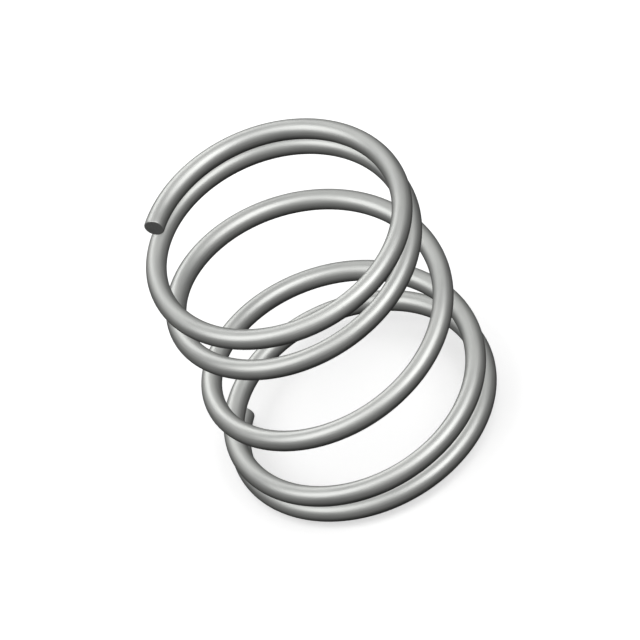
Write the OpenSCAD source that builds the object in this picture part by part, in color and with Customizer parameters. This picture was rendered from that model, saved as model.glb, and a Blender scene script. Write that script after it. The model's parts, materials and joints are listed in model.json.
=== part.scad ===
// Helical compression spring, coiled cold from round steel wire.
// Each end is closed: the last turn lies against its neighbour and isn't ground flat.
// The coil axis is Z, the lower end coil stands on Z = 0, and the wire starts on +X.

/* [Wire] */
// Diameter of the wire
wire_d = 2; // [1.6:0.05:2.5]
// Width of the edge broken off round each cut end of the wire
cut_edge = 0.1; // [0.05:0.05:0.3]

/* [Coil] */
// Outside diameter of the coil
outer_d = 27; // [22:0.5:36]
// Length of the unloaded spring, over both end coils
free_length = 30.3; // [25:0.1:42]
// Turns of wire from one cut end to the other
total_turns = 5; // [4:0.25:6]
// Turns wound at the closed pitch at each end
closed_turns = 1; // [0.8:0.05:1.2]
// Turns over which the pitch opens from closed to full
opening_turns = 1; // [0.5:0.05:1.2]
// Gap between the tip of the wire and the turn that it lies against
tip_gap = 0.02; // [0.02:0.01:0.2]
// Hand of the winding
hand = "right"; // [right, left]

/* [Facets] */
// Rings of facets in one turn of the coil
rings_per_turn = 60; // [36:4:64]
// Facets round the wire
wire_sides = 16; // [12:4:16]

/* [Hidden] */

steel_colour = [0.73, 0.74, 0.73];
wire_r = wire_d / 2;
coil_r = outer_d / 2 - wire_r;

// Pitch of the closed turns, whose tips just clear the turns that they lie against
closed_pitch = wire_d + tip_gap;
// Place, in turns, where the pitch starts to close again for the upper end
closing_start = total_turns - closed_turns - opening_turns;
// Turns that the open winding is worth, with half of each opening stretch counted
open_turns = closing_start - closed_turns;
// Rise that the closed pitch doesn't give, spread over the open winding
open_rise = free_length - wire_d - closed_pitch * total_turns;
open_pitch = closed_pitch + open_rise / open_turns;

// Turns of the coil that the broken edge takes at each cut end
edge_turns = cut_edge / (2 * PI * coil_r);
ring_count = round(total_turns * rings_per_turn);

// A value held between two limits
function held(value, low, high) = min(max(value, low), high);

// How far a stretch has opened at a place in turns past its start: 0 at first, 1 when it is done
function opened(turns) = held(turns / opening_turns, 0, 1);

// The area under opened() from the start of the stretch to that place
function opened_sum(turns) =
    opening_turns * opened(turns) ^ 2 / 2 + max(turns - opening_turns, 0);

// Pitch of the winding at a place along the wire, in turns from the lower end
function pitch_at(turn) =
    closed_pitch
    + (open_pitch - closed_pitch)
        * (opened(turn - closed_turns) - opened(turn - closing_start));

// Height of the wire's centre there, which is the sum of the pitch up to that place
function height_at(turn) =
    wire_r
    + closed_pitch * turn
    + (open_pitch - closed_pitch)
        * (opened_sum(turn - closed_turns) - opened_sum(turn - closing_start));

// Slope of the wire there, in degrees above the horizontal
function slope_at(turn) = atan2(pitch_at(turn), 2 * PI * coil_r);

// One ring of points round the wire, square to its run
function ring_at(turn, radius) =
    let (
        angle = 360 * turn,
        slope = slope_at(turn),
        outward = [cos(angle), sin(angle), 0],
        upward = [sin(angle) * sin(slope), -cos(angle) * sin(slope), cos(slope)],
        centre = coil_r * outward + [0, 0, height_at(turn)]
    )
    [
        for (side = [0 : wire_sides - 1])
            let (around = 360 * side / wire_sides)
            centre + radius * (cos(around) * outward + sin(around) * upward)
    ];

// The rings of the whole wire, with a smaller one at each cut end for its broken edge
wire_rings = [
    ring_at(0, wire_r - cut_edge),
    for (ring = [0 : ring_count])
        ring_at(
            held(total_turns * ring / ring_count, edge_turns, total_turns - edge_turns),
            wire_r
        ),
    ring_at(total_turns, wire_r - cut_edge)
];

// A closed skin over rings that all have as many points, with a flat cap at each end
module skin(rings) {
    sides = len(rings[0]);
    last = len(rings) - 1;
    function corner(ring, side) = ring * sides + side % sides;
    walls = [
        for (ring = [0 : last - 1], side = [0 : sides - 1])
            each [
                [corner(ring, side), corner(ring, side + 1), corner(ring + 1, side)],
                [corner(ring, side + 1), corner(ring + 1, side + 1), corner(ring + 1, side)]
            ]
    ];
    first_cap = [for (side = [sides - 1 : -1 : 0]) corner(0, side)];
    last_cap = [for (side = [0 : sides - 1]) corner(last, side)];
    polyhedron(points = [for (ring = rings) each ring], faces = concat(walls, [first_cap, last_cap]));
}

module coil_spring() {
    color(steel_colour)
        if (hand == "left")
            mirror([0, 1, 0])
                skin(wire_rings);
        else
            skin(wire_rings);
}

coil_spring();
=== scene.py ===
"""Looks of a helical compression spring, coiled cold from one length of drawn steel wire.

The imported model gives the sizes, in metres. Geometry nodes sweep the wire along the same
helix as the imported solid, smooth and with rounded, sheared ends. The coil axis is Z, the
lower end coil stands on Z = 0, and the wire starts on +X.
"""

import json
import logging
import math
from dataclasses import dataclass
from enum import Enum
from typing import Mapping, Union

import bpy
from mathutils import Matrix, Vector


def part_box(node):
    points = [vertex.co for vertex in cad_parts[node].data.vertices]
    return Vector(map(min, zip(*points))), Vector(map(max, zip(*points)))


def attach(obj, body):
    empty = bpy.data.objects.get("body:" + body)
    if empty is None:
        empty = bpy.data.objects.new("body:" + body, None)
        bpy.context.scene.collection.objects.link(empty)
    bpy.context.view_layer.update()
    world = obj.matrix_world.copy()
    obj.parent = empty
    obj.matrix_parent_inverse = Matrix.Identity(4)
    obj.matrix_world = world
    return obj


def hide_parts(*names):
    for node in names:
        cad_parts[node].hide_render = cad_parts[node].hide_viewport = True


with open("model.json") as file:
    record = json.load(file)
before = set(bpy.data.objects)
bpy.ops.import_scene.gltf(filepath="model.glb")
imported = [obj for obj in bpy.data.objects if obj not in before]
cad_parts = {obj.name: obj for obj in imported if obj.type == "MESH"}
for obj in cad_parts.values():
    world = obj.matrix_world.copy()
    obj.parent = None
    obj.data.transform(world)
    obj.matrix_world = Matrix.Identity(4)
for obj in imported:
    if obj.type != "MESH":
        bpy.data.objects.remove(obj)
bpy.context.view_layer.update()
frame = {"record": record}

LOG = logging.getLogger("compression_spring")
BODY = "root"
CAD_NODE = "coil_spring"

MM = 0.001
QUARTER_TURN = math.pi / 2
FULL_TURN = 2 * math.pi
WHITE = (1.0, 1.0, 1.0, 1.0)

# Attributes of the wire's mesh that its steel reads
ROD_ATTRIBUTE = "wire_rod"
CUT_ATTRIBUTE = "cut_face"

Triple = tuple[float, float, float]
Span = tuple[float, float]


class Hand(Enum):
    """The way that the coil climbs, seen along its axis."""

    RIGHT = 1.0
    LEFT = -1.0


@dataclass(frozen=True)
class Value:
    """One number or vector in a node tree, with the usual signs of arithmetic."""

    graph: "Graph"
    socket: bpy.types.NodeSocket

    def __add__(self, other: "Feed") -> "Value":
        """Adds another value."""
        return self.graph.math("ADD", self, other)

    def __radd__(self, other: "Feed") -> "Value":
        """Adds this value to a number."""
        return self.graph.math("ADD", other, self)

    def __sub__(self, other: "Feed") -> "Value":
        """Takes another value away."""
        return self.graph.math("SUBTRACT", self, other)

    def __rsub__(self, other: "Feed") -> "Value":
        """Takes this value away from a number."""
        return self.graph.math("SUBTRACT", other, self)

    def __mul__(self, other: "Feed") -> "Value":
        """Multiplies by another value."""
        return self.graph.math("MULTIPLY", self, other)

    def __rmul__(self, other: "Feed") -> "Value":
        """Multiplies a number by this value."""
        return self.graph.math("MULTIPLY", other, self)

    def __truediv__(self, other: "Feed") -> "Value":
        """Divides by another value."""
        return self.graph.math("DIVIDE", self, other)

    def clamped(self) -> "Value":
        """Keeps the value between 0 and 1."""
        return self.graph.math("ADD", self, 0.0, clamp=True)


Feed = Union[Value, float, int, str, bool, tuple, Vector, bpy.types.ID]


class Graph:
    """Adds nodes to one tree and joins their sockets."""

    def __init__(self, tree: bpy.types.NodeTree) -> None:
        """Keeps the tree that the nodes go into.

        Args:
            tree: A geometry or a shader node tree.
        """
        self.tree = tree

    @classmethod
    def shading(cls, owner: Union[bpy.types.Material, bpy.types.World]) -> "Graph":
        """Empties the shader tree of a material or a world.

        Args:
            owner: The material or the world.

        Returns:
            The graph of its empty tree.
        """
        owner.use_nodes = True
        owner.node_tree.nodes.clear()
        return cls(owner.node_tree)

    def feed(self, socket: bpy.types.NodeSocket, value: Feed) -> None:
        """Joins a value to a socket, or sets the socket's own number.

        Args:
            socket: The input socket.
            value: A value of this graph, or a constant.
        """
        if isinstance(value, Value):
            self.tree.links.new(value.socket, socket)
        else:
            socket.default_value = value

    def node(self, kind: str, feeds: Mapping[str, Feed], **options: object) -> bpy.types.Node:
        """Adds a node, sets its options and feeds its named inputs.

        Args:
            kind: Blender's name for the node type.
            feeds: Values by the name of the socket they go to.
            **options: Properties of the node.

        Returns:
            The new node.
        """
        made = self.tree.nodes.new(kind)
        for name, option in options.items():
            setattr(made, name, option)
        for name, value in feeds.items():
            socket = next(s for s in made.inputs if s.enabled and s.name == name)
            self.feed(socket, value)
        return made

    def value(self, kind: str, feeds: Mapping[str, Feed], out: str = "", **options: object) -> Value:
        """Adds a node and gives one of its outputs as a value.

        Args:
            kind: Blender's name for the node type.
            feeds: Values by the name of the socket they go to.
            out: The output's name, or nothing for the first one.
            **options: Properties of the node.

        Returns:
            The output as a value.
        """
        made = self.node(kind, feeds, **options)
        shown = [s for s in made.outputs if s.enabled]
        return Value(self, next(s for s in shown if not out or s.name == out))

    def math(self, operation: str, *values: Feed, clamp: bool = False) -> Value:
        """Works out one step of arithmetic.

        Args:
            operation: The step, in Blender's words.
            *values: One to three values.
            clamp: Whether the result is kept between 0 and 1.

        Returns:
            The result.
        """
        made = self.node("ShaderNodeMath", {}, operation=operation, use_clamp=clamp)
        for socket, value in zip(made.inputs, values):
            self.feed(socket, value)
        return Value(self, made.outputs[0])

    def vector(self, operation: str, first: Feed, second: Feed) -> Value:
        """Works out one step of vector arithmetic.

        Args:
            operation: The step, in Blender's words.
            first: The first vector.
            second: The second vector, or the factor of SCALE.

        Returns:
            The resulting vector.
        """
        made = self.node("ShaderNodeVectorMath", {}, operation=operation)
        self.feed(made.inputs[0], first)
        self.feed(made.inputs["Scale"] if operation == "SCALE" else made.inputs[1], second)
        return Value(self, made.outputs[0])

    def combine(self, x: Feed, y: Feed, z: Feed) -> Value:
        """Makes a vector of three numbers."""
        return self.value("ShaderNodeCombineXYZ", {"X": x, "Y": y, "Z": z})

    def part(self, vector: Value, axis: str) -> Value:
        """Takes the X, Y or Z of a vector."""
        return self.value("ShaderNodeSeparateXYZ", {"Vector": vector}, out=axis)

    def mix(self, share: Feed, first: Feed, second: Feed) -> Value:
        """Blends two colours by the share of the second one."""
        return self.value("ShaderNodeMix", {"Factor": share, "A": first, "B": second}, data_type="RGBA")

    def ramp(self, value: Feed, first: float, last: float, start: Feed = 0.0, end: Feed = 1.0) -> Value:
        """Eases from one number to another while a value goes from first to last.

        Args:
            value: The value that is followed.
            first: Where the change begins.
            last: Where the change ends, which may be lower than where it begins.
            start: The result before the change.
            end: The result after the change.

        Returns:
            The eased number.
        """
        feeds = {"Value": value, "From Min": first, "From Max": last, "To Min": start, "To Max": end}
        return self.value("ShaderNodeMapRange", feeds, interpolation_type="SMOOTHSTEP")

    def noise(self, where: Feed, scale: float, detail: float = 2.0, roughness: float = 0.5) -> Value:
        """Gives soft noise between 0 and 1 at a place.

        Args:
            where: The place.
            scale: How many features fit in one unit.
            detail: How many finer layers are added.
            roughness: How strong the finer layers are.

        Returns:
            The noise.
        """
        feeds = {"Vector": where, "Scale": scale, "Detail": detail, "Roughness": roughness}
        return self.value("ShaderNodeTexNoise", feeds)


def add_object(name: str, data: bpy.types.ID) -> bpy.types.Object:
    """Makes an object and puts it in the scene.

    Args:
        name: The object's name.
        data: Its mesh, light or camera.

    Returns:
        The object, at the origin.
    """
    made = bpy.data.objects.new(name, data)
    bpy.context.scene.collection.objects.link(made)
    return made


def direction(azimuth_deg: float, elevation_deg: float) -> Vector:
    """Gives the way from the spring to a place round it.

    Args:
        azimuth_deg: Degrees round the coil axis, from +X towards +Y.
        elevation_deg: Degrees above the level of the floor.

    Returns:
        A vector of length 1.
    """
    azimuth = math.radians(azimuth_deg)
    elevation = math.radians(elevation_deg)
    flat = math.cos(elevation)
    return Vector((flat * math.cos(azimuth), flat * math.sin(azimuth), math.sin(elevation)))


@dataclass(frozen=True)
class WireSizes:
    """Sizes of the wire and of the coil it is wound to, in metres and turns."""

    wire_radius: float
    coil_radius: float
    free_length: float
    total_turns: float = 5.0
    closed_turns: float = 1.0
    opening_turns: float = 1.0
    tip_gap: float = 0.02 * MM
    cut_edge: float = 0.1 * MM
    hand: Hand = Hand.RIGHT

    @classmethod
    def from_frame(cls, record: dict, box: tuple[Vector, Vector]) -> "WireSizes":
        """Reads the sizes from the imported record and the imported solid's box.

        Args:
            record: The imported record, whose mounts give the bore and the two seats.
            box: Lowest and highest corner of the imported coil.

        Returns:
            The sizes that the visible wire is made to.
        """
        mounts = {mount["name"]: mount for mount in record["mounts"]}
        bore_radius = mounts["coil_bore"]["dims"]["r_mm"] * MM
        outer_radius = (box[1].x - box[0].x) / 2
        free_length = mounts["upper_seat"]["pos_m"][2] - mounts["lower_seat"]["pos_m"][2]
        return cls(
            wire_radius=(outer_radius - bore_radius) / 2,
            coil_radius=(outer_radius + bore_radius) / 2,
            free_length=free_length,
        )


@dataclass(frozen=True)
class ShearedEnd:
    """Relief of a cut face, which a blade has sheared from the outside of the coil inwards."""

    bulge: float = 0.02 * MM
    roll_over: float = 0.03 * MM
    slant: float = 0.005 * MM
    tear: float = 0.012 * MM
    burr: float = 0.012 * MM


class CoilTree:
    """Geometry nodes that sweep round wire along a helix with closed ends."""

    # Rings of the mesh across a cut face and round its edge, and the share that the innermost keeps
    FACE_RINGS = 9
    EDGE_RINGS = 7
    SMALLEST_RING = 0.02

    # Zones of a cut face, from -1 at the inside of the coil to 1 at the outside
    ROLLED_ZONE = (0.6, 1.0)
    TORN_ZONE = (0.15, -0.15)
    BURR_ZONE = (-0.8, -1.0)

    # Tears across one millimetre, and how many finer layers they have
    TEARS_PER_MM = 4.5
    TEAR_DETAIL = 3.0

    NUMBERS = (
        "Wire Radius",
        "Coil Radius",
        "Free Length",
        "Total Turns",
        "Closed Turns",
        "Opening Turns",
        "Tip Gap",
        "Cut Edge",
        "Hand",
        "Bulge",
        "Roll Over",
        "Slant",
        "Tear",
        "Burr",
    )
    COUNTS = ("Rings", "Sides")

    def __init__(self) -> None:
        """Builds the whole tree."""
        self.tree = bpy.data.node_groups.new("closed_end_coil", "GeometryNodeTree")
        self.graph = Graph(self.tree)
        self._name_sockets()
        group = self.tree.nodes.new("NodeGroupInput")
        self.sizes = {s.name: Value(self.graph, s) for s in group.outputs if s.name}
        wire = self._swept_wire()
        wire = self._with_sheared_ends(wire)
        self._finish(wire)

    def _name_sockets(self) -> None:
        """Gives the tree its named inputs and its one output."""
        face = self.tree.interface
        for name in self.NUMBERS:
            face.new_socket(name=name, in_out="INPUT", socket_type="NodeSocketFloat")
        for name in self.COUNTS:
            face.new_socket(name=name, in_out="INPUT", socket_type="NodeSocketInt")
        face.new_socket(name="Steel", in_out="INPUT", socket_type="NodeSocketMaterial")
        face.new_socket(name="Wire", in_out="OUTPUT", socket_type="NodeSocketGeometry")

    def _rounding(self, steps_from_tip: Value) -> tuple[Value, Value]:
        """Says where a ring lies in one tip of the wire.

        Args:
            steps_from_tip: How many rings lie between this ring and the middle of the cut face.

        Returns:
            The share of the way from the middle of the cut face to its rim, and the angle
            turned round the rounded edge, from 0 at the face to a quarter turn at the wire.
        """
        outwards = (steps_from_tip / self.FACE_RINGS).clamped()
        turned = ((steps_from_tip - self.FACE_RINGS) / self.EDGE_RINGS).clamped() * QUARTER_TURN
        return outwards, turned

    def _opened_sum(self, turn: Value) -> Value:
        """Adds up the opening of the pitch, which goes from 0 to 1 over the opening turns.

        Args:
            turn: Turns from where the pitch starts to open.

        Returns:
            The sum up to there, in turns of full pitch.
        """
        opening = self.sizes["Opening Turns"]
        opened = (turn / opening).clamped()
        return opening * opened * opened / 2 + self.graph.math("MAXIMUM", turn - opening, 0.0)

    def _height(self, turn: Value) -> Value:
        """Gives the height of the wire's middle at a turn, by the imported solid's own rule.

        Args:
            turn: Turns from the lower tip.

        Returns:
            The height above the seat.
        """
        size = self.sizes
        thick = size["Wire Radius"] * 2
        closed_pitch = thick + size["Tip Gap"]
        closing_start = size["Total Turns"] - size["Closed Turns"] - size["Opening Turns"]
        open_rise = size["Free Length"] - thick - closed_pitch * size["Total Turns"]
        extra_pitch = open_rise / (closing_start - size["Closed Turns"])
        opened = self._opened_sum(turn - size["Closed Turns"]) - self._opened_sum(turn - closing_start)
        return size["Wire Radius"] + closed_pitch * turn + extra_pitch * opened

    def _swept_wire(self) -> Value:
        """Sweeps the wire and keeps what the ends and the finish need.

        Returns:
            The swept mesh. The captured values are kept on this object.
        """
        graph, size = self.graph, self.sizes
        index = graph.value("GeometryNodeInputIndex", {})
        last = size["Rings"] - 1
        face_1, turned_1 = self._rounding(index)
        face_2, turned_2 = self._rounding(last - index)
        place = self._place(index, last, (face_1, face_2), (turned_1, turned_2))
        roundness = graph.math("MINIMUM", graph.math("SINE", turned_1), graph.math("SINE", turned_2))
        rim = 1 - size["Cut Edge"] * (1 - roundness) / size["Wire Radius"]
        face = graph.math("MINIMUM", face_1, face_2)
        scale = rim * (self.SMALLEST_RING + (1 - self.SMALLEST_RING) * face)
        way_out = graph.math("SIGN", index - last * 0.5)

        points = graph.value("GeometryNodeMeshLine", {"Count": size["Rings"], "Offset": (0.0, 0.0, 0.0)})
        path = graph.value("GeometryNodeMeshToCurve", {"Mesh": points})
        path = graph.value("GeometryNodeSetPosition", {"Geometry": path, "Position": place})
        path = graph.value("GeometryNodeSetCurveNormal", {"Curve": path}, mode="Z_UP")
        tangent = graph.value("GeometryNodeInputTangent", {})
        outwards = graph.vector("SCALE", tangent, way_out)
        run = graph.value("GeometryNodeSplineParameter", {}, out="Length")
        path, self.outwards, self.run, self.scale, self.cut = self._captured(
            path, {"outwards": outwards, "run": run, "scale": scale, "cut": 1 - roundness}
        )
        ring = graph.value(
            "GeometryNodeCurvePrimitiveCircle",
            {"Resolution": size["Sides"], "Radius": size["Wire Radius"]},
            mode="RADIUS",
        )
        here = graph.value("GeometryNodeInputPosition", {})
        ring, self.section = self._captured(ring, {"section": here})
        return graph.value(
            "GeometryNodeCurveToMesh",
            {"Curve": path, "Profile Curve": ring, "Scale": self.scale, "Fill Caps": True},
        )

    def _place(
        self, index: Value, last: Value, faces: tuple[Value, Value], turned: tuple[Value, Value]
    ) -> Value:
        """Gives the middle of each ring of the mesh.

        Args:
            index: The ring's number.
            last: The number of the last ring.
            faces: How far out the ring lies on the first and on the last cut face, from 0 to 1.
            turned: The angle that it has turned round the edge of each.

        Returns:
            The place on the helix.
        """
        graph, size = self.graph, self.sizes
        tip_rings = self.FACE_RINGS + self.EDGE_RINGS
        along = ((index - tip_rings) / (last - 2 * tip_rings)).clamped()
        around_coil = size["Coil Radius"] * FULL_TURN
        edge_turns = size["Cut Edge"] / around_coil
        bulge_turns = size["Bulge"] / around_coil
        turn = (
            edge_turns * (1 - graph.math("COSINE", turned[0]))
            + along * (size["Total Turns"] - edge_turns * 2)
            + edge_turns * graph.math("COSINE", turned[1])
            + bulge_turns * (faces[0] - faces[1])
        )
        angle = turn * size["Hand"] * FULL_TURN
        x = size["Coil Radius"] * graph.math("COSINE", angle)
        y = size["Coil Radius"] * graph.math("SINE", angle)
        return graph.combine(x, y, self._height(turn))

    def _captured(self, geometry: Value, wanted: Mapping[str, Value]) -> list[Value]:
        """Captures values on the points of a geometry.

        Args:
            geometry: The geometry that carries them.
            wanted: The values by name.

        Returns:
            The geometry, then each captured value in the order given.
        """
        made = self.graph.node("GeometryNodeCaptureAttribute", {}, domain="POINT")
        self.graph.feed(made.inputs["Geometry"], geometry)
        for name, value in wanted.items():
            kind = "VECTOR" if value.socket.type == "VECTOR" else "FLOAT"
            made.capture_items.new(kind, name)
            self.graph.feed(made.inputs[name], value)
        names = ["Geometry", *wanted]
        return [Value(self.graph, made.outputs[name]) for name in names]

    def _with_sheared_ends(self, wire: Value) -> Value:
        """Stores the finish's coordinates and shapes both cut faces.

        Args:
            wire: The swept mesh.

        Returns:
            The mesh with its cut faces in relief.
        """
        graph, size = self.graph, self.sizes
        section = graph.vector("SCALE", self.section, self.scale)
        side = graph.part(section, "X")
        up = graph.part(section, "Y") * -1.0
        rod = graph.combine(side, up, self.run)
        wire = self._stored(wire, ROD_ATTRIBUTE, "FLOAT_VECTOR", rod)
        wire = self._stored(wire, CUT_ATTRIBUTE, "FLOAT", self.cut)
        across = side / size["Wire Radius"]
        rolled = graph.ramp(across, *self.ROLLED_ZONE)
        torn = graph.ramp(across, *self.TORN_ZONE)
        lip = graph.ramp(across, *self.BURR_ZONE)
        rod_mm = graph.vector("SCALE", rod, 1 / MM)
        grain = graph.noise(rod_mm, self.TEARS_PER_MM, self.TEAR_DETAIL) - 0.5
        depth = size["Tear"] * grain * torn * 2 + size["Slant"] * across
        depth = depth - size["Roll Over"] * rolled * rolled + size["Burr"] * lip
        push = graph.vector("SCALE", self.outwards, depth * self.cut)
        return graph.value("GeometryNodeSetPosition", {"Geometry": wire, "Offset": push})

    def _stored(self, mesh: Value, name: str, kind: str, value: Value) -> Value:
        """Stores a value on the points of a mesh.

        Args:
            mesh: The mesh.
            name: The attribute's name, by which the steel reads it.
            kind: The attribute's type, in Blender's words.
            value: The value at each point.

        Returns:
            The mesh with the attribute.
        """
        feeds = {"Geometry": mesh, "Name": name, "Value": value}
        return self.graph.value("GeometryNodeStoreNamedAttribute", feeds, data_type=kind, domain="POINT")

    def _finish(self, wire: Value) -> None:
        """Smooths the wire, realises it, gives it its steel and ends the tree.

        Args:
            wire: The finished mesh.
        """
        graph = self.graph
        wire = graph.value("GeometryNodeSetShadeSmooth", {"Geometry": wire, "Shade Smooth": True})
        wire = graph.value("GeometryNodeRealizeInstances", {"Geometry": wire})
        wire = graph.value("GeometryNodeSetMaterial", {"Geometry": wire, "Material": self.sizes["Steel"]})
        graph.node("NodeGroupOutput", {"Wire": wire})

    def settings(self, modifier: bpy.types.Modifier, numbers: Mapping[str, object]) -> None:
        """Sets a modifier's inputs by their identifiers.

        Args:
            modifier: The modifier that carries this tree.
            numbers: Values by the tree's input names.
        """
        for item in self.tree.interface.items_tree:
            if item.item_type == "SOCKET" and item.in_out == "INPUT":
                modifier[item.identifier] = numbers[item.name]


@dataclass(frozen=True)
class Pattern:
    """Soft noise over the wire as if it were straight, finer or coarser each way."""

    stretch: Triple
    per_mm: float
    detail: float = 2.0
    roughness: float = 0.5

    def at(self, graph: Graph, rod: Value) -> Value:
        """Gives the noise, between 0 and 1, at a place on the straightened wire."""
        where = graph.vector("MULTIPLY", rod, self.stretch)
        return graph.noise(where, self.per_mm, self.detail, self.roughness)


@dataclass(frozen=True)
class SteelLook:
    """What a part of the steel's surface shows: its colour, its roughness and its relief in millimetres."""

    shade: Value
    rough: Value
    relief: Value


@dataclass(frozen=True)
class DrawnSurface:
    """The round of the wire, as the die has drawn it and the coiling pins have rubbed it."""

    colour: Triple = (0.62, 0.63, 0.61)
    dull_colour: Triple = (0.55, 0.56, 0.545)
    worn_colour: Triple = (0.72, 0.725, 0.71)
    roughness: float = 0.42

    die_lines: Pattern = Pattern((1.0, 1.0, 0.03), 9.0, 3.0, 0.65)
    streaks: Pattern = Pattern((1.0, 1.0, 0.012), 2.6, 1.0)
    patches: Pattern = Pattern((0.5, 0.5, 0.16), 1.0, 3.0, 0.55)
    grain: Pattern = Pattern((1.0, 1.0, 1.0), 16.0)
    line_relief: float = 0.0034
    streak_relief: float = 0.003
    grain_relief: float = 0.00102
    line_roughness: float = 0.2
    patch_roughness: float = 0.14
    settled_patches: Span = (0.2, 0.6)
    shiny_lines: Span = (0.5, 0.75)
    line_shine: float = 0.4

    sliver_stretch: Triple = (1.0, 1.0, 0.13)
    slivers_per_mm: float = 1.2
    sliver_edge: Span = (0.02, 0.07)
    sliver_patches: Span = (0.45, 0.6)
    sliver_relief: float = 0.006

    rubbed_band: Span = (0.955, 0.985)
    rubbed_streaks: Span = (0.3, 0.7)
    least_rubbed: float = 0.6
    rubbed_shine: float = 0.35
    rubbed_smoothness: float = 0.05

    def _slivers(self, graph: Graph, rod: Value, patches: Value) -> Value:
        """Scatters fine slivers over some of the patches.

        Args:
            graph: The material's graph.
            rod: The place on the straightened wire, in millimetres.
            patches: The noise that makes the patches.

        Returns:
            How deep in a sliver the place is, from 0 to 1.
        """
        where = graph.vector("MULTIPLY", rod, self.sliver_stretch)
        feeds = {"Vector": where, "Scale": self.slivers_per_mm}
        cells = graph.value("ShaderNodeTexVoronoi", feeds, out="Distance")
        return graph.ramp(cells, *self.sliver_edge, 1.0, 0.0) * graph.ramp(patches, *self.sliver_patches)

    def look(self, graph: Graph, rod: Value, across: Value) -> SteelLook:
        """Finishes the round of the wire.

        Args:
            graph: The material's graph.
            rod: The place on the straightened wire, in millimetres, with Z along it.
            across: The place across it, from -1 at the inside of the coil to 1 at the outside.

        Returns:
            Lines that the die has left, faint patches, slivers, and the line that the
            coiling pins have rubbed along the outside of the coil.
        """
        lines = self.die_lines.at(graph, rod)
        streaks = self.streaks.at(graph, rod)
        patches = self.patches.at(graph, rod)
        grain = self.grain.at(graph, rod)
        slivers = self._slivers(graph, rod, patches)
        rubbed = graph.ramp(across, *self.rubbed_band)
        rubbed = rubbed * graph.ramp(streaks, *self.rubbed_streaks, self.least_rubbed, 1.0)

        settled = graph.ramp(patches, *self.settled_patches)
        shade = graph.mix(settled, (*self.dull_colour, 1.0), (*self.colour, 1.0))
        shiny = graph.ramp(lines, *self.shiny_lines) * self.line_shine
        shade = graph.mix((rubbed * self.rubbed_shine + shiny).clamped(), shade, (*self.worn_colour, 1.0))
        rough = self.roughness + (lines - 0.5) * self.line_roughness
        rough = rough + (patches - 0.5) * self.patch_roughness - rubbed * self.rubbed_smoothness
        relief = (lines - 0.5) * self.line_relief + (streaks - 0.5) * self.streak_relief
        relief = relief + (grain - 0.5) * self.grain_relief - slivers * self.sliver_relief
        return SteelLook(shade, rough, relief)


@dataclass(frozen=True)
class ShearedSurface:
    """A cut face: scored where the blade slid, grainy where the steel tore."""

    # Both colours are darker than the drawn wire's: partly the dull sheared steel, partly painted shade on
    # the cut faces
    dark_shaded_colour: Triple = (0.33, 0.335, 0.327)
    bright_shaded_colour: Triple = (0.46, 0.466, 0.454)
    roughness: float = 0.6

    border: Pattern = Pattern((0.3, 1.0, 0.01), 2.4, 3.0)
    border_wander: float = 0.6
    torn_zone: Span = (0.2, 0.05)

    scores: Pattern = Pattern((0.5, 15.0, 0.01), 1.0, 2.0, 0.6)
    bright_scores: Span = (0.3, 0.65)
    score_relief: float = 0.006
    slid_smoothness: float = 0.06

    grain: Pattern = Pattern((1.0, 1.0, 1.0), 13.0, 3.0, 0.6)
    bright_grain: Span = (0.5, 0.7)
    grain_shine: float = 0.5
    tear_relief: float = 0.014
    torn_roughness: float = 0.08

    def look(self, graph: Graph, rod: Value, across: Value) -> SteelLook:
        """Finishes a sheared face.

        Args:
            graph: The material's graph.
            rod: The place on the straightened wire, in millimetres, with Z along it.
            across: The place across it, from -1 at the inside of the coil to 1 at the outside.

        Returns:
            The look of both cut faces.
        """
        wander = (self.border.at(graph, rod) - 0.5) * self.border_wander
        torn = graph.ramp(across + wander, *self.torn_zone)
        scores = self.scores.at(graph, rod)
        grain = self.grain.at(graph, rod)
        slid = graph.ramp(scores, *self.bright_scores) * (1 - torn)
        glints = graph.ramp(grain, *self.bright_grain) * torn
        bright = (slid + glints * self.grain_shine).clamped()
        shade = graph.mix(bright, (*self.dark_shaded_colour, 1.0), (*self.bright_shaded_colour, 1.0))
        rough = self.roughness + torn * self.torn_roughness - slid * self.slid_smoothness
        relief = (grain - 0.5) * torn * self.tear_relief + (scores - 0.5) * (1 - torn) * self.score_relief
        return SteelLook(shade, rough, relief)


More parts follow.
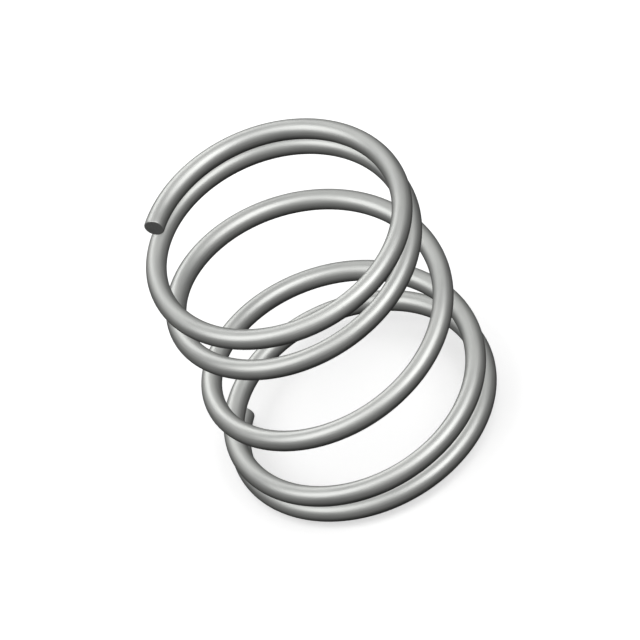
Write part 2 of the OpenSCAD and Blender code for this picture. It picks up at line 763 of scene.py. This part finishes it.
@dataclass(frozen=True)
class DrawnSteel:
    """Drawn spring steel: soft grey with fine lines along the wire, and dull where it is cut, with painted
    shade on the cut faces.
    """

    wire_radius: float
    name: str = "drawn_steel"
    drawn: DrawnSurface = DrawnSurface()
    sheared: ShearedSurface = ShearedSurface()
    grazing_tint: Triple = (0.2, 0.202, 0.198)
    face_zone: Span = (0.6, 0.98)
    rim_zone: Span = (0.0, 0.5)
    rim_shine: float = 0.5
    rim_smoothness: float = 0.06

    def material(self) -> bpy.types.Material:
        """Builds the steel.

        Returns:
            A node material that follows the wire by its own stored coordinates.
        """
        made = bpy.data.materials.new(self.name)
        graph = Graph.shading(made)
        place = graph.value("ShaderNodeAttribute", {}, out="Vector", attribute_name=ROD_ATTRIBUTE)
        across = graph.part(place, "X") / self.wire_radius
        rod = graph.vector("SCALE", place, 1 / MM)
        cut = graph.value("ShaderNodeAttribute", {}, out="Fac", attribute_name=CUT_ATTRIBUTE)
        drawn = self.drawn.look(graph, rod, across)
        sheared = self.sheared.look(graph, rod, across)

        face = graph.ramp(cut, *self.face_zone)
        rim = graph.ramp(cut, *self.rim_zone) * (1 - face)
        shade = graph.mix(rim * self.rim_shine, drawn.shade, (*self.drawn.worn_colour, 1.0))
        # The cut faces take the sheared colours, which carry painted shade
        shade = graph.mix(face, shade, sheared.shade)
        rough = drawn.rough * (1 - face) + sheared.rough * face - rim * self.rim_smoothness
        relief = drawn.relief * (1 - face) + sheared.relief * face
        normal = graph.value("ShaderNodeBump", {"Height": relief, "Distance": MM})
        steel = graph.value(
            "ShaderNodeBsdfPrincipled",
            {
                "Base Color": shade,
                "Metallic": 1.0,
                "Roughness": rough.clamped(),
                "Specular Tint": (*self.grazing_tint, 1.0),
                "Normal": normal,
            },
        )
        graph.node("ShaderNodeOutputMaterial", {"Surface": steel})
        return made


@dataclass(frozen=True)
class SpringWire:
    """The spring itself: one length of wire, wound and cut."""

    sizes: WireSizes
    steel: DrawnSteel
    name: str = "coiled_wire"
    rings: int = 701
    sides: int = 48
    ends: ShearedEnd = ShearedEnd()

    def _numbers(self) -> dict[str, object]:
        """Lists the tree's inputs.

        Returns:
            Values by the tree's input names.
        """
        size, ends = self.sizes, self.ends
        return {
            "Wire Radius": size.wire_radius,
            "Coil Radius": size.coil_radius,
            "Free Length": size.free_length,
            "Total Turns": size.total_turns,
            "Closed Turns": size.closed_turns,
            "Opening Turns": size.opening_turns,
            "Tip Gap": size.tip_gap,
            "Cut Edge": size.cut_edge,
            "Hand": size.hand.value,
            "Bulge": ends.bulge,
            "Roll Over": ends.roll_over,
            "Slant": ends.slant,
            "Tear": ends.tear,
            "Burr": ends.burr,
            "Rings": self.rings,
            "Sides": self.sides,
            "Steel": self.steel.material(),
        }

    def build(self) -> bpy.types.Object:
        """Makes the wire as a plain closed mesh at the origin.

        The coils don't show in each other's gloss, as in the photograph.

        Returns:
            The finished piece.
        """
        coil = CoilTree()
        holder = add_object(self.name + "_path", bpy.data.meshes.new(self.name + "_path"))
        modifier = holder.modifiers.new("coil", "NODES")
        modifier.node_group = coil.tree
        coil.settings(modifier, self._numbers())
        depsgraph = bpy.context.evaluated_depsgraph_get()
        mesh = bpy.data.meshes.new_from_object(
            holder.evaluated_get(depsgraph), preserve_all_data_layers=True, depsgraph=depsgraph
        )
        bpy.data.objects.remove(holder)
        mesh.name = self.name
        piece = add_object(self.name, mesh)
        piece.visible_glossy = False
        return piece


@dataclass(frozen=True)
class PhotoCamera:
    """A camera without perspective, at the photograph's viewing angle."""

    azimuth_deg: float = 123.8
    elevation_deg: float = 45.93
    roll_deg: float = 26.10
    width: float = 0.06115
    distance: float = 0.3
    nearest: float = 0.01
    farthest: float = 10.0

    def axes(self) -> tuple[Vector, Vector, Vector]:
        """Works out how the camera is turned.

        Returns:
            The picture's right, its up, and the way from the object to the camera.
        """
        azimuth = math.radians(self.azimuth_deg)
        roll = math.radians(self.roll_deg)
        back = direction(self.azimuth_deg, self.elevation_deg)
        level = Vector((-math.sin(azimuth), math.cos(azimuth), 0.0))
        upright = back.cross(level)
        right = level * math.cos(roll) - upright * math.sin(roll)
        return right, back.cross(right), back

    def build(self, centre: Vector) -> bpy.types.Object:
        """Makes the camera and gives it to the scene.

        Args:
            centre: The point in the middle of the picture.

        Returns:
            The camera.
        """
        data = bpy.data.cameras.new("photo_camera")
        data.type = "ORTHO"
        data.ortho_scale = self.width
        data.clip_start = self.nearest
        data.clip_end = self.farthest
        camera = add_object("photo_camera", data)
        turn = Matrix(self.axes()).transposed().to_4x4()
        camera.matrix_world = Matrix.Translation(centre + self.axes()[2] * self.distance) @ turn
        bpy.context.scene.camera = camera
        return camera


@dataclass(frozen=True)
class SoftLight:
    """A large soft light, far away, named by where it stands."""

    name: str
    azimuth_deg: float
    elevation_deg: float
    strength: float
    spread_deg: float

    def build(self) -> bpy.types.Object:
        """Makes the light.

        Returns:
            The light, turned towards the object.
        """
        data = bpy.data.lights.new(self.name, "SUN")
        data.energy = self.strength
        data.angle = math.radians(self.spread_deg)
        light = add_object(self.name, data)
        way = direction(self.azimuth_deg, self.elevation_deg)
        light.rotation_euler = way.to_track_quat("Z", "Y").to_euler()
        light.location = way
        return light


@dataclass(frozen=True)
class PaleStudio:
    """The pale floor, the pale room round it, and the soft lights."""

    floor_half: float = 1.5
    floor_colour: Triple = (0.7, 0.7, 0.7)
    floor_glow: float = 0.5

    # The room brightens from black at one height to its level at another, then evenly upwards;
    # a height is the upward part of a direction, from -1 straight down to 1 straight up
    dark_height: float = -1.05
    level_height: float = -0.2
    room_level: float = 0.19
    room_climb: float = 0.52
    backdrop: float = 1.0
    lights: tuple[SoftLight, ...] = (
        SoftLight("key_light", 173.8, 60.4, 0.85, 45.0),
        SoftLight("side_light", 40.1, 55.7, 0.62, 45.0),
        SoftLight("back_light", -48.3, 21.0, 0.31, 30.0),
        SoftLight("low_fill", -51.4, 10.4, 0.4, 80.0),
    )

    def build(self) -> None:
        """Makes the floor, the room and the lights."""
        self._floor()
        self._room()
        for light in self.lights:
            light.build()
        bpy.context.scene.view_settings.view_transform = "Standard"

    def _floor(self) -> None:
        """Makes a flat pale floor at the height that the spring stands on.

        The floor only shows and takes shadows. The room's lower half stands for the light
        that a floor throws back.
        """
        half = self.floor_half
        corners = [(-half, -half, 0.0), (half, -half, 0.0), (half, half, 0.0), (-half, half, 0.0)]
        mesh = bpy.data.meshes.new("pale_floor")
        mesh.from_pydata(corners, [], [(0, 1, 2, 3)])
        mesh.materials.append(self._paint())
        floor = add_object("pale_floor", mesh)
        floor.visible_glossy = False
        floor.visible_diffuse = False
        floor.visible_shadow = False

    def _paint(self) -> bpy.types.Material:
        """Makes the floor's flat paint.

        Returns:
            A dull pale material that glows a little, so that the floor shows nearly white.
        """
        made = bpy.data.materials.new("pale_paint")
        graph = Graph.shading(made)
        surface = graph.value(
            "ShaderNodeBsdfPrincipled",
            {
                "Base Color": (*self.floor_colour, 1.0),
                "Roughness": 1.0,
                "Specular IOR Level": 0.0,
                "Emission Color": WHITE,
                "Emission Strength": self.floor_glow,
            },
        )
        graph.node("ShaderNodeOutputMaterial", {"Surface": surface})
        return made

    def _room(self) -> None:
        """Lights the object from a room that is dark below and pale above."""
        world = bpy.data.worlds.new("pale_room")
        bpy.context.scene.world = world
        graph = Graph.shading(world)
        way = graph.value("ShaderNodeTexCoord", {}, out="Generated")
        height = graph.part(way, "Z")
        glow = graph.ramp(height, self.dark_height, self.level_height, 0.0, self.room_level)
        glow = glow + graph.math("MAXIMUM", height, 0.0) * self.room_climb
        room = graph.value("ShaderNodeBackground", {"Color": WHITE, "Strength": glow})
        seen = graph.value("ShaderNodeBackground", {"Color": WHITE, "Strength": self.backdrop})
        straight = graph.value("ShaderNodeLightPath", {}, out="Is Camera Ray")
        choice = graph.node("ShaderNodeMixShader", {})
        for socket, value in zip(choice.inputs, (straight, room, seen)):
            graph.feed(socket, value)
        graph.node("ShaderNodeOutputWorld", {"Surface": Value(graph, choice.outputs[0])})


def main() -> None:
    """Builds the camera, the spring and the studio, and reports each piece."""
    logging.basicConfig(level=logging.INFO, format="%(name)s: %(message)s")
    sizes = WireSizes.from_frame(frame["record"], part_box(CAD_NODE))
    camera = PhotoCamera()
    camera.build(Vector((0.0, 0.0, sizes.free_length / 2)))
    LOG.info("camera: %.1f degrees up, picture %.4f m wide", camera.elevation_deg, camera.width)

    piece = SpringWire(sizes, DrawnSteel(sizes.wire_radius)).build()
    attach(piece, BODY)
    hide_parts(CAD_NODE)
    LOG.info("%s: %d faces, wire radius %.4f m", piece.name, len(piece.data.polygons), sizes.wire_radius)

    studio = PaleStudio()
    studio.build()
    LOG.info("studio: floor and %d soft lights", len(studio.lights))


if __name__ == "__main__":
    main()
